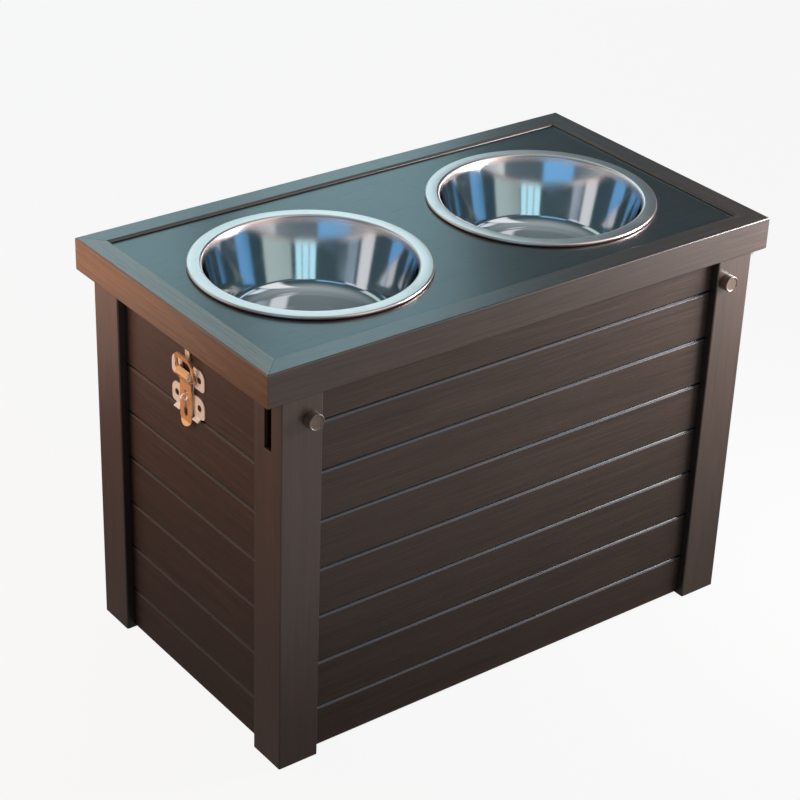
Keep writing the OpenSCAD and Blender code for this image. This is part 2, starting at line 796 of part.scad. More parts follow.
// Screws that go up into the lid's rails, under the strike and under both hinges
module lid_screws() {
    color(steel) {
        strike_screws_at() screw(screw_l);
        for (side = [-1, 1]) translate([0, side * hinge_y, 0]) lid_leaf_screws_at() screw(screw_l);
    }
}

// Screws that hold both hinges to their posts
module hinge_screws() {
    color(steel) for (side = [-1, 1]) translate([0, side * hinge_y, 0])
        post_leaf_screws_at() screw(short_screw_l);
}

for (c = CORNERS) {
    union() {
        color(wood) difference() {
            at_corner(c[1], c[2]) corner_post(c[0] == "front_left");
            if (c[1] == 1) {
                translate([0, c[2] == 0 ? -hinge_y : hinge_y, 0])
                    post_leaf_screws_at() screw_pilot(short_screw_l);
            }
        }
    }
    color(wood_dark) at_corner(c[1], c[2]) knobbed_pin();
}
for (k = [1:long_wall_slats]) {
    front_slat(k);
    mirror([0, 1, 0]) front_slat(k);
}
for (k = [1:short_wall_slats]) {
    left_slat(k, true);
    mirror([1, 0, 0]) left_slat(k, false);
}
floor_board();
color(wood) front_rail();
color(wood) mirror([0, 1, 0]) front_rail();  // rear_rail
color(wood) difference() {
    left_rail();
    strike_screws_at() screw_pilot(screw_l);
}
color(wood) difference() {  // right_rail
    mirror([1, 0, 0]) left_rail();
    for (side = [-1, 1]) translate([0, side * hinge_y, 0]) lid_leaf_screws_at() screw_pilot(screw_l);
}
lid_panel();
bowl(-1);  // left_bowl
bowl(1);  // right_bowl
latch_plate();
latch_pivot();
latch_lever();
latch_loop();
latch_strike();
translate([0, -hinge_y, 0]) post_leaf();  // front_hinge_post_leaf
translate([0, -hinge_y, 0]) lid_leaf();  // front_hinge_lid_leaf
translate([0, -hinge_y, 0]) hinge_pin();  // front_hinge_pin
translate([0, hinge_y, 0]) post_leaf();  // rear_hinge_post_leaf
translate([0, hinge_y, 0]) lid_leaf();  // rear_hinge_lid_leaf
translate([0, hinge_y, 0]) hinge_pin();  // rear_hinge_pin
latch_screws();
lid_screws();
hinge_screws();
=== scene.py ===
"""Elevated dog feeder: the looks of a stained slatted box with a bowl lid and a toggle latch.

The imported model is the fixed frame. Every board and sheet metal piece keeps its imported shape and
gets softened edges, the bowls, knobs and screws are spun or cut anew, and each finish is a shader
made of nodes.
"""

import json
import logging
import math
from dataclasses import dataclass
from enum import Enum
from typing import Optional, Sequence, Union

import bmesh
import bpy
from mathutils import Matrix, Vector

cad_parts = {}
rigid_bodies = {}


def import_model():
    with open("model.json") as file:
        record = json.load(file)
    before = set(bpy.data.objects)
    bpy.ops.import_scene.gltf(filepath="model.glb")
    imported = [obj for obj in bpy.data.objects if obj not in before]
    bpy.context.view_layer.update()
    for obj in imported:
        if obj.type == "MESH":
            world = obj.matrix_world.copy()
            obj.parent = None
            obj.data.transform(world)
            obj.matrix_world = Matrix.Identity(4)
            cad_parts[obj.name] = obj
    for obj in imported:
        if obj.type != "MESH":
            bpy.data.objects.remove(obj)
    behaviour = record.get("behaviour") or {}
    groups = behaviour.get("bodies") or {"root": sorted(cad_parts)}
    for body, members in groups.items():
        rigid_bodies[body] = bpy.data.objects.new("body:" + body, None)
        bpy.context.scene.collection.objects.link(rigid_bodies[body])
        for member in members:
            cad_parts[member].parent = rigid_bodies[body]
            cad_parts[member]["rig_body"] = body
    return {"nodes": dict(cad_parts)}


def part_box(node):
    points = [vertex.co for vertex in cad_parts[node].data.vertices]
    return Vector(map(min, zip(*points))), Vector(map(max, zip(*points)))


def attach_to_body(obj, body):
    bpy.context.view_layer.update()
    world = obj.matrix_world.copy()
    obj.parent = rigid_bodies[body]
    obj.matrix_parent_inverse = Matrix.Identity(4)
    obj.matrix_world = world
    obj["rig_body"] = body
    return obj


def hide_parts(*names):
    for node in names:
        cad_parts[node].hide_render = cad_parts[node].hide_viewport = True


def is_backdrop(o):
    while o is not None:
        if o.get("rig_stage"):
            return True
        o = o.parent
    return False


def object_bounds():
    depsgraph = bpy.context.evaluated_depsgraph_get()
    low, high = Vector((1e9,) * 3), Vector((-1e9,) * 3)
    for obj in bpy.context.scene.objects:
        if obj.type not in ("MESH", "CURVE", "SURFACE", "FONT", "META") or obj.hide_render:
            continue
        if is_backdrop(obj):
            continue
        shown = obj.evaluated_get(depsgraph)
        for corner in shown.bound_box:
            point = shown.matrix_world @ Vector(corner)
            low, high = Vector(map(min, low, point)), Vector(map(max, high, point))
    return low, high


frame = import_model()

LOG = logging.getLogger("feeder")
MM = 0.001
Colour = tuple[float, float, float, float]
Span = tuple[float, float]
Point = tuple[float, float, float]
Stops = Sequence[tuple[float, Colour]]
Value = Union["Shade", float, int, tuple]
Spot = tuple["Shade", "Shade", "Shade"]


def linear(code: str) -> Colour:
    """Turns a colour as it looks on a screen into the shader's linear numbers.

    Args:
        code: Six hexadecimal digits, two for each of red, green and blue.

    Returns:
        Red, green, blue and an alpha of one.
    """
    levels = [int(code[i:i + 2], 16) / 255 for i in (0, 2, 4)]
    curve = [v / 12.92 if v <= 0.04045 else ((v + 0.055) / 1.055) ** 2.4 for v in levels]
    return (curve[0], curve[1], curve[2], 1.0)


class Shade:
    """One output socket of a shader, which takes part in Python arithmetic."""

    def __init__(self, graph: "Graph", socket: bpy.types.NodeSocket) -> None:
        """Keeps the socket and the graph that it belongs to."""
        self.graph = graph
        self.socket = socket

    def _math(self, operation: str, *values: Value) -> "Shade":
        """Adds a Math node that works on the given values."""
        return self.graph.node("ShaderNodeMath", {"operation": operation}, dict(enumerate(values)))

    def __add__(self, other: Value) -> "Shade":
        """Adds."""
        return self._math("ADD", self, other)

    __radd__ = __add__

    def __sub__(self, other: Value) -> "Shade":
        """Subtracts."""
        return self._math("SUBTRACT", self, other)

    def __rsub__(self, other: Value) -> "Shade":
        """Subtracts this from another value."""
        return self._math("SUBTRACT", other, self)

    def __mul__(self, other: Value) -> "Shade":
        """Multiplies."""
        return self._math("MULTIPLY", self, other)

    __rmul__ = __mul__

    def __pow__(self, other: Value) -> "Shade":
        """Raises to a power."""
        return self._math("POWER", self, other)

    def __abs__(self) -> "Shade":
        """Gives the size without the sign."""
        return self._math("ABSOLUTE", self)

    def at_least(self, other: Value) -> "Shade":
        """Gives the larger of two values."""
        return self._math("MAXIMUM", self, other)

    def rises(self, low: float, high: float) -> "Shade":
        """Goes smoothly from 0 at the low value to 1 at the high one.

        Args:
            low: Value up to which the result is 0.
            high: Value from which the result is 1; it may be the smaller one.

        Returns:
            The smooth step.
        """
        if low > high:
            return 1 - self.rises(high, low)
        return self.graph.node(
            "ShaderNodeMapRange",
            {"interpolation_type": "SMOOTHSTEP"},
            {"Value": self, "From Min": low, "From Max": high, "To Min": 0.0, "To Max": 1.0},
        )


class Graph:
    """The node tree of one material or of the world."""

    def __init__(self, tree: bpy.types.NodeTree) -> None:
        """Empties the tree."""
        self.tree = tree
        tree.nodes.clear()

    def node(
        self,
        kind: str,
        settings: Optional[dict[str, object]] = None,
        values: Optional[dict[Union[str, int], Value]] = None,
        output: Union[str, int] = 0,
    ) -> Shade:
        """Adds any node.

        Args:
            kind: Blender's name of the node's type.
            settings: The node's own settings, made first; "stops" are a ramp's colours.
            values: A number, a colour or a link for each named or numbered input.
            output: Name or number of the output that the result stands for.

        Returns:
            The chosen output.
        """
        made = self.tree.nodes.new(kind)
        for key, value in (settings or {}).items():
            if key == "stops":
                self._set_stops(made.color_ramp, value)
            else:
                setattr(made, key, value)
        for key, value in (values or {}).items():
            if isinstance(value, Shade):
                self.tree.links.new(value.socket, made.inputs[key])
            else:
                made.inputs[key].default_value = value
        return Shade(self, made.outputs[output] if made.outputs else None)

    @staticmethod
    def _set_stops(ramp: bpy.types.ColorRamp, stops: Stops) -> None:
        """Gives a colour ramp its stops.

        Args:
            ramp: The ramp, which starts with two stops.
            stops: Place and colour of each stop.
        """
        while len(ramp.elements) < len(stops):
            ramp.elements.new(0.5)
        for element, (place, colour) in zip(ramp.elements, stops):
            element.position = place
            element.color = colour

    def place(self) -> Shade:
        """Gives the point in the feeder's own frame."""
        return self.node("ShaderNodeTexCoord", output="Object")

    def split(self, vector: Shade) -> Spot:
        """Splits a vector into its three numbers."""
        parts = self.node("ShaderNodeSeparateXYZ", None, {0: vector}).socket.node
        return tuple(Shade(self, parts.outputs[i]) for i in range(3))

    def join(self, x: Value, y: Value, z: Value) -> Shade:
        """Makes a vector of three numbers."""
        return self.node("ShaderNodeCombineXYZ", None, {0: x, 1: y, 2: z})

    def turn_about(self, x: Shade, y: Shade) -> Shade:
        """Gives the angle of a place or direction about the upright axis, in radians."""
        return self.node("ShaderNodeMath", {"operation": "ARCTAN2"}, {0: y, 1: x})

    def noise(
        self, place: Shade, scale: float = 1.0, detail: float = 3.0, roughness: float = 0.55
    ) -> Shade:
        """Gives soft noise between 0 and 1, with octaves of detail as strong as the roughness."""
        values = {"Vector": place, "Scale": scale, "Detail": detail, "Roughness": roughness}
        return self.node("ShaderNodeTexNoise", None, values)

    def mix(self, factor: Value, first: Value, second: Value) -> Shade:
        """Mixes two colours, with the factor as the share of the second."""
        settings = {"data_type": "RGBA", "blend_type": "MIX"}
        return self.node("ShaderNodeMix", settings, {0: factor, 6: first, 7: second}, output=2)

    def mix_shaders(self, factor: Value, first: Shade, second: Shade) -> Shade:
        """Mixes two shaders, with the factor as the share of the second."""
        return self.node("ShaderNodeMixShader", None, {0: factor, 1: first, 2: second})

    def bump(self, height: Shade, strength: float, distance: float) -> Shade:
        """Turns a height from 0 to 1, which is the distance in metres, into a normal."""
        values = {"Strength": strength, "Distance": distance, "Height": height}
        return self.node("ShaderNodeBump", None, values)

    def surface(self, values: dict[str, Value]) -> None:
        """Ends a material in a Principled shader with the given inputs."""
        shader = self.node("ShaderNodeBsdfPrincipled", None, values)
        self.node("ShaderNodeOutputMaterial", None, {"Surface": shader})

    def ray_kinds(self) -> tuple[Shade, Shade]:
        """Tells the rays of the camera from those that metal, lacquer and glass send on.

        Returns:
            1 for a camera ray, and 1 for a glossy or transmission ray.
        """
        path = self.node("ShaderNodeLightPath").socket.node
        camera, glossy, through = (
            Shade(self, path.outputs[name])
            for name in ("Is Camera Ray", "Is Glossy Ray", "Is Transmission Ray")
        )
        return camera, glossy.at_least(through)


def new_material(name: str) -> tuple[bpy.types.Material, Graph]:
    """Starts a material made of nodes.

    Args:
        name: Name of the material.

    Returns:
        The material and its empty graph.
    """
    made = bpy.data.materials.new(name)
    made.use_nodes = True
    return made, Graph(made.node_tree)


class Grain(Enum):
    """Direction in which a board's grain runs."""

    ALONG_X = 0
    ALONG_Y = 1
    UPRIGHT = 2


class Board(Enum):
    """Kind of board, which decides where painted shade and painted highlights lie on it."""

    POST = 0
    SLAT = 1
    PLAIN = 2


@dataclass(frozen=True)
class PostPlaces:
    """Where the posts' inner edges and the walls' outer faces lie, read from the frame."""

    post_x: float
    post_y: float
    wall_x: float
    wall_y: float

    @classmethod
    def from_frame(cls) -> "PostPlaces":
        """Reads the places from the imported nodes."""
        low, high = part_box("front_right_post")
        return cls(low.x, -high.y, -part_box("left_slat_1")[0].x, -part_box("front_slat_1")[0].y)


POSTS = PostPlaces.from_frame()


@dataclass(frozen=True)
class Stain:
    """Colours of a stain: in the pores, on the board and on its palest streaks."""

    dark: str = "36271F"
    body: str = "49352B"
    light: str = "5E4537"


WALL_STAIN = Stain()
POST_STAIN = Stain("39251A", "4D3426", "634431")
# Painted light: a warmer, brighter stain for the left rail alone, standing in for the warm light on
# the box's left side.
LEFT_LIGHT_STAIN = Stain("49301A", "6A4A2A", "8E683E")
PANEL_STAIN = Stain("241F1C", "2B2623", "342E2A")
KNOB_STAIN = Stain("4E3C31", "705848", "8A6E5A")


@dataclass(frozen=True)
class Lacquer:
    """Clear coat over a stain."""

    weight: float = 0.0
    roughness: float = 0.3
    ior: float = 1.5


NO_LACQUER = Lacquer()
THIN_LACQUER = Lacquer(0.3)
FULL_LACQUER = Lacquer(1.0, ior=1.7)
RAIL_LACQUER = Lacquer(1.0, 0.24, 1.6)
PANEL_LACQUER = Lacquer(1.0, 0.18)


@dataclass(frozen=True)
class GrainLayer:
    """One layer of the wood's noise: its waves per metre along and across the grain."""

    along: float
    across: float
    detail: float
    roughness: float = 0.55

    def read(self, graph: Graph, place: Spot, shift: float) -> Shade:
        """Reads the layer.

        Args:
            graph: The material's graph.
            place: Places along the grain, across it and through the board.
            shift: Shift along the grain, which is each board's own.

        Returns:
            The noise, between 0 and 1.
        """
        along, across, deep = place
        spot = graph.join(along * self.along + shift, across * self.across, deep * self.across)
        return graph.noise(spot, 1.0, self.detail, self.roughness)


@dataclass(frozen=True)
class StainPattern:
    """How strongly the grain shows in a stain's colour and sheen, and how dark the painted shade is.

    Each span gives the noise at which a share starts and at which it is complete.
    """

    shift_per_seed: float = 3.7
    band_share: float = 0.3
    fibre_share: float = 0.7
    body: Span = (0.3, 0.56)
    light: Span = (0.5, 0.74)
    light_share: float = 0.8
    pores: Span = (0.62, 0.74)
    pore_share: float = 0.4
    blotch_tone: Span = (0.9, 1.1)
    fibre_rough: float = 0.16
    pore_rough: float = 0.2
    blotch_rough: float = 0.1
    lip_rough: float = 0.4
    # Painted shade: how much the posts' faces beside the walls are darkened.
    reveal_shade: float = 0.8
    # Painted shade: how dark a slat becomes in the corner at a post, and over which distance from
    # the post's edge.
    corner_shade: float = 0.45
    corner_shade_span: Span = (-8 * MM, 1 * MM)


PATTERN = StainPattern()
WAVER = GrainLayer(4.0, 9.0, 2.0)
BANDS = GrainLayer(1.6, 90.0, 3.0, 0.6)
FIBRES = GrainLayer(12.0, 640.0, 3.0, 0.65)
PORES = GrainLayer(46.0, 1100.0, 1.0, 0.5)
BLOTCHES = GrainLayer(7.0, 7.0, 2.0)


@dataclass(frozen=True)
class GrooveShading:
    """Where painted shade and a painted highlight lie in a wall's V grooves.

    Depths are behind the wall's outer face and heights over the slat's lower edge. Each span
    gives where a change starts and where it is complete.
    """

    highlight_starts: Span = (0.2 * MM, 0.5 * MM)
    highlight_ends: Span = (1.4 * MM, 0.9 * MM)
    under_height: Span = (4 * MM, 3 * MM)
    under_starts: Span = (0.1 * MM, 0.4 * MM)
    bottom_starts: Span = (0.9 * MM, 1.5 * MM)
    bottom_ends: Span = (4.8 * MM, 3.8 * MM)
    # Painted shade: how much the groove's bottom and the slat's down-facing bevel are darkened.
    groove_shade: float = 0.85
    # Painted highlight: share and tint of the pale colour on the lower bevel, bluish on the long
    # walls, pinkish on the short ones.
    long_wall_highlight: tuple[float, str] = (0.5, "8A96B0")
    short_wall_highlight: tuple[float, str] = (0.3, "A08C84")


GROOVE = GrooveShading()


@dataclass(frozen=True)
class WoodFinish:
    """Dark stain with a satin lacquer, over a fine straight grain."""

    name: str
    grain: Grain
    board: Board = Board.PLAIN
    stain: Stain = WALL_STAIN
    lacquer: Lacquer = NO_LACQUER
    tone: float = 1.0
    seed: float = 0.0
    roughness: float = 0.42
    relief: float = 0.3
    relief_depth: float = 0.4 * MM
    # Painted shade: the base colour darkens towards the bottom, from this share at the floor to full
    # tone at the upper height.
    foot_shade: float = 0.54
    foot_shade_heights: Span = (0.02, 0.42)
    lower_edge: float = 0.0
    waver_depth: float = 6 * MM

    def material(self) -> bpy.types.Material:
        """Makes the material.

        Returns:
            The material.
        """
        made, graph = new_material(self.name)
        place = graph.split(graph.place())
        fibres, streaks, pits = self._grain_of(graph, place)
        blotches = BLOTCHES.read(graph, place, self._shift())
        stain = self.stain
        dark, light = linear(stain.dark), streaks.rises(*PATTERN.light) * PATTERN.light_share
        colour = graph.mix(streaks.rises(*PATTERN.body), dark, linear(stain.body))
        colour = graph.mix(light, colour, linear(stain.light))
        colour = graph.mix(pits * PATTERN.pore_share, colour, dark)
        # Painted shade: every board is darker towards the bottom.
        foot = self.foot_shade + (1 - self.foot_shade) * place[2].rises(*self.foot_shade_heights)
        low, high = PATTERN.blotch_tone
        level = self.tone * (low + blotches * (high - low)) * foot
        # Painted shade and highlight: posts darken on their faces beside the walls; slats darken at
        # the posts and in their groove bottoms, and their lower groove bevels get a pale tint.
        lip: Value = 0.0
        if self.board is Board.POST:
            level = level * self._reveal_shade(place)
        elif self.board is Board.SLAT:
            lip, tone = self._groove_shade_and_highlight(place)
            level = level * self._shade_beside_post(place) * tone
            share, pale = GROOVE.long_wall_highlight if self.grain is Grain.ALONG_X else GROOVE.short_wall_highlight
            colour = graph.mix(lip * share, colour, linear(pale))
        rough = self.roughness + (fibres - 0.5) * PATTERN.fibre_rough + pits * PATTERN.pore_rough
        rough = rough + (blotches - 0.5) * PATTERN.blotch_rough + lip * PATTERN.lip_rough
        scaled = {"Vector": colour, "Scale": level}
        graph.surface({
            "Base Color": graph.node("ShaderNodeVectorMath", {"operation": "SCALE"}, scaled),
            "Roughness": rough,
            "Coat Weight": self.lacquer.weight * (1 - lip),
            "Coat Roughness": self.lacquer.roughness,
            "Coat IOR": self.lacquer.ior,
            "Normal": graph.bump(fibres - pits * 0.5, self.relief, self.relief_depth),
        })
        return made

    def _shift(self) -> float:
        """Gives the board's own shift of the grain."""
        return self.seed * PATTERN.shift_per_seed

    def _grain_of(self, graph: Graph, place: Spot) -> Spot:
        """Draws the grain.

        Args:
            graph: The material's graph.
            place: The point in the feeder's frame.

        Returns:
            The fine fibres, the streaks of the stain and the pores that are open.
        """
        x, y, z = place
        along, across, deep = {
            Grain.ALONG_X: (x, y, z), Grain.ALONG_Y: (y, x, z), Grain.UPRIGHT: (z, x, y),
        }[self.grain]
        shift = self._shift()
        waver = (WAVER.read(graph, (along, across, deep), shift) - 0.5) * self.waver_depth
        wavy = (along, across + waver, deep + waver)
        fibres = FIBRES.read(graph, wavy, shift)
        bands = BANDS.read(graph, wavy, shift)
        streaks = bands * PATTERN.band_share + fibres * PATTERN.fibre_share
        pits = PORES.read(graph, wavy, -shift).rises(*PATTERN.pores)
        return fibres, streaks, pits

    def _groove_shade_and_highlight(self, place: Spot) -> tuple[Shade, Shade]:
        """Paints light into a slat's V grooves: a painted highlight on the lower bevel, painted
        shade in the bottom.

        Args:
            place: The point in the feeder's frame.

        Returns:
            1 on the painted highlight of the lower bevel, and the tone, which is less than 1 where
            painted shade lies.
        """
        x, y, z = place
        along_x = self.grain is Grain.ALONG_X
        depth = POSTS.wall_y - abs(y) if along_x else POSTS.wall_x - abs(x)
        over, whole = GROOVE.under_height
        under = z.rises(self.lower_edge + over, self.lower_edge + whole)
        lip = depth.rises(*GROOVE.highlight_starts) * depth.rises(*GROOVE.highlight_ends) * (1 - under)
        dark = depth.rises(*GROOVE.bottom_starts).at_least(
            under * depth.rises(*GROOVE.under_starts)
        )
        return lip, 1 - GROOVE.groove_shade * dark * depth.rises(*GROOVE.bottom_ends)

    @staticmethod
    def _reveal_shade(place: Spot) -> Shade:
        """Gives painted shade on a post: its narrow faces towards the walls are darkened nearly to
        black.

        Args:
            place: The point in the feeder's frame.

        Returns:
            1 on open faces, less where painted shade lies on the faces beside the walls.
        """
        blur, far, near = 0.5 * MM, 0.4 * MM, 0.1 * MM
        away_x, away_y = abs(place[0]), abs(place[1])
        front = away_y.rises(POSTS.wall_y - blur, POSTS.wall_y + blur)
        end = away_x.rises(POSTS.wall_x - blur, POSTS.wall_x + blur)
        face_front = away_x.rises(POSTS.post_x + far, POSTS.post_x + near) * front
        face_end = away_y.rises(POSTS.post_y + far, POSTS.post_y + near) * end
        return 1 - PATTERN.reveal_shade * face_front.at_least(face_end)

    def _shade_beside_post(self, place: Spot) -> Shade:
        """Gives painted shade on a slat, darker in the corner at each post.

        Args:
            place: The point in the feeder's frame.

        Returns:
            1 in the open, less where painted shade lies beside a post.
        """
        x, y, _ = place
        away, edge = (x, POSTS.post_x) if self.grain is Grain.ALONG_X else (y, POSTS.post_y)
        low, high = PATTERN.corner_shade_span
        return 1 - PATTERN.corner_shade * abs(away).rises(edge + low, edge + high)


@dataclass(frozen=True)
class SpunSteel:
    """Stainless steel with fine rings from spinning and polishing, round one upright axis."""

    name: str
    centre_x: float
    rim_inner: float
    tint: str = "E4E6E8"
    smear_tint: str = "C9CCCF"
    rim_tint: str = "FCE3DD"
    rim_roughness: float = 0.3
    wall_roughness: float = 0.07
    rim_blur: float = 1 * MM
    rings_per_metre: float = 2600.0
    ring_waver: float = 0.004
    ring_rough: float = 0.08
    swirls_per_metre: float = 30.0
    swirls_per_radian: float = 1.4
    smears_per_metre: float = 26.0
    smear_share: float = 0.35
    smear_noise: Span = (0.5, 0.8)
    smear_rough: float = 0.07
    relief: float = 0.08
    relief_depth: float = 0.2 * MM

    def material(self) -> bpy.types.Material:
        """Makes the material: satin on the flat rim, nearly a mirror inside.

        Returns:
            The material.
        """
        made, graph = new_material(self.name)
        x, y, z = graph.split(graph.place())
        x = x - self.centre_x
        radius = (x * x + y * y) ** 0.5
        turn = graph.turn_about(x, y)
        ring_place = graph.join(radius, z, turn * self.ring_waver)
        rings = graph.noise(ring_place, self.rings_per_metre, 2.0, 0.7)
        per, wide = self.swirls_per_metre, self.smears_per_metre
        swirl_place = graph.join(radius * per, z * per, turn * self.swirls_per_radian)
        swirl = graph.noise(swirl_place, 1.0, 3.0, 0.6)
        smears = graph.noise(graph.join(x * wide, y * wide, z * wide), 1.0, 4.0, 0.6)
        on_rim = radius.rises(self.rim_inner - self.rim_blur, self.rim_inner + self.rim_blur)
        colour = graph.mix(smears * self.smear_share, linear(self.tint), linear(self.smear_tint))
        base = self.wall_roughness + on_rim * (self.rim_roughness - self.wall_roughness)
        smeared = smears.rises(*self.smear_noise) * self.smear_rough
        graph.surface({
            "Base Color": graph.mix(on_rim, colour, linear(self.rim_tint)),
            "Metallic": 1.0,
            "Roughness": base + (rings - 0.5) * self.ring_rough + smeared,
            "Normal": graph.bump(rings * 0.5 + swirl, self.relief, self.relief_depth),
        })
        return made


@dataclass(frozen=True)
class PlatedSteel:
    """Pressed steel sheet with a thin bright plating, worn a little in soft patches."""

    name: str
    tint: str
    worn: str
    roughness: float = 0.2
    wear: float = 0.4
    metallic: float = 1.0
    patches_per_metre: float = 95.0
    patch_noise: Span = (0.5, 0.72)
    patch_rough: float = 0.15
    specks_per_metre: float = 900.0
    speck_rough: float = 0.1
    relief: float = 0.12
    relief_depth: float = 0.1 * MM

    def material(self) -> bpy.types.Material:
        """Makes the material.

        Returns:
            The material.
        """
        made, graph = new_material(self.name)
        place = graph.place()
        clouds = graph.noise(place, self.patches_per_metre, 3.0, 0.6)
        specks = graph.noise(place, self.specks_per_metre, 3.0, 0.7)
        patches = clouds.rises(*self.patch_noise) * self.wear
        dull = (specks - 0.5) * self.speck_rough + patches * self.patch_rough
        graph.surface({
            "Base Color": graph.mix(patches, linear(self.tint), linear(self.worn)),
            "Metallic": self.metallic,
            "Roughness": self.roughness + dull,
            "Normal": graph.bump(specks, self.relief, self.relief_depth),
        })
        return made


LATCH_PLATING = PlatedSteel("latch_plate_plating", "FFFCF8", "EADFD6", metallic=0.2)
# Painted reflection: the lever and loop are nickel plated like the plate; their orange tint stands
# in for the warm surroundings they mirror, and the worn patches mark real wear.
LEVER_REFLECTION_PLATING = PlatedSteel("latch_lever_reflection_plating", "FBC48C", "E8AA6C", metallic=0.45)
HINGE_PLATING = PlatedSteel("hinge_plating", "C9C4BA", "9A9488", roughness=0.3, wear=0.5)
SCREW_PLATING = PlatedSteel("screw_plating", "8E6A56", "5E4335", roughness=0.32, wear=0.6)


def new_object(name: str, shape: bmesh.types.BMesh, smooth: bool = True) -> bpy.types.Object:
    """Makes an object of a finished bmesh, at the origin, and frees the bmesh.

    Args:
        name: Name of the piece.
        shape: Its mesh, in metres in the feeder's frame.
        smooth: Whether its faces are shaded smooth.

    Returns:
        The object, linked to the scene.
    """
    mesh = bpy.data.meshes.new(name)
    for face in shape.faces:
        face.smooth = smooth
    shape.to_mesh(mesh)
    shape.free()
    made = bpy.data.objects.new(name, mesh)
    bpy.context.scene.collection.objects.link(made)
    return made


def round_corner(
    before: Vector, corner: Vector, after: Vector, radius: float, steps: int
) -> list[Vector]:
    """Gives the arc that rounds a corner.

    Args:
        before: Point before the corner.
        corner: The corner.
        after: Point after the corner.
        radius: Radius of the arc.
        steps: Pieces that the arc is made of.

    Returns:
        Points of the arc, from the side of the point before.
    """
    inward, outward = (before - corner).normalized(), (after - corner).normalized()
    half = inward.angle(outward) / 2
    centre = corner + (inward + outward).normalized() * radius / math.sin(half)
    start = corner + inward * radius / math.tan(half) - centre
    end = corner + outward * radius / math.tan(half) - centre
    axis, angle = start.rotation_difference(end).to_axis_angle()
    return [centre + Matrix.Rotation(angle * i / steps, 3, axis) @ start for i in range(steps + 1)]


def rounded_path(points: Sequence[Point], steps: int = 8) -> list[Vector]:
    """Rounds the corners of a flat path in the X-Z plane.

    Args:
        points: X, Z and corner radius of each point, in metres.
        steps: Pieces that each arc is made of.

    Returns:
        Points of the rounded path.
    """
    spots = [Vector((x, 0.0, z)) for x, z, _ in points]
    path = [spots[0]]
    for i in range(1, len(spots) - 1):
        radius = points[i][2]
        if radius > 0:
            path += round_corner(spots[i - 1], spots[i], spots[i + 1], radius, steps)
        else:
            path.append(spots[i])
    return path + [spots[-1]]


def turned(path: Sequence[Vector], steps: int) -> bmesh.types.BMesh:
    """Spins a path once round the Z axis.

    Args:
        path: Points in the X-Z plane.
        steps: Steps of the full turn.

    Returns:
        The turned shape, with its doubles merged and its normals pointing outwards.
    """
    shape = bmesh.new()
    verts = [shape.verts.new(point) for point in path]
    edges = [shape.edges.new(pair) for pair in zip(verts, verts[1:])]
    bmesh.ops.spin(
        shape, geom=verts + edges, cent=(0, 0, 0), axis=(0, 0, 1), angle=math.tau,
        steps=steps, use_merge=True,
    )
    bmesh.ops.remove_doubles(shape, verts=shape.verts, dist=1e-6)
    bmesh.ops.recalc_face_normals(shape, faces=shape.faces)
    return shape


@dataclass(frozen=True)
class SoftEdges:
    """How a copied board or sheet is cleaned and its sharp edges are rounded."""

    merge: float = 0.002 * MM
    flat: float = 0.5
    segments: int = 2
    sharp: float = 28.0
    face_weight: int = 100

    def copy(self, node: str, width: float) -> bpy.types.Object:
        """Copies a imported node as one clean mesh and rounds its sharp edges.

        Args:
            node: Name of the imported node, which the copy replaces.
            width: Width of the rounding, in metres.

        Returns:
            The new piece.
        """
        shape = bmesh.new()
        shape.from_mesh(frame["nodes"][node].data)
        bmesh.ops.remove_doubles(shape, verts=shape.verts, dist=self.merge)
        bmesh.ops.dissolve_limit(
            shape, angle_limit=math.radians(self.flat), verts=shape.verts, edges=shape.edges
        )
        piece = new_object(node + "_piece", shape)
        bevel = piece.modifiers.new("soft_edges", "BEVEL")
        bevel.width = width
        bevel.segments = self.segments
        bevel.limit_method = "ANGLE"
        bevel.angle_limit = math.radians(self.sharp)
        level = piece.modifiers.new("level_faces", "WEIGHTED_NORMAL")
        level.mode = "FACE_AREA"
        level.weight = self.face_weight
        return piece


SOFT_EDGES = SoftEdges()


def attach(piece: bpy.types.Object, node: str, material: bpy.types.Material) -> None:
    """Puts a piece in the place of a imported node.

    Args:
        piece: The new piece.
        node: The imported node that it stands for.
        material: Its finish.
    """
    piece.data.materials.clear()
    piece.data.materials.append(material)
    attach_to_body(piece, frame["nodes"][node]["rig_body"])
    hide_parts(node)
    LOG.info("%s stands for %s", piece.name, node)


def wobble(number: int, spread: float) -> float:
    """Gives a steady value in plus or minus the spread that differs from number to number."""
    turn_per_number, first_turn = 12.9898, 4.1
    return spread * math.sin(number * turn_per_number + first_turn)


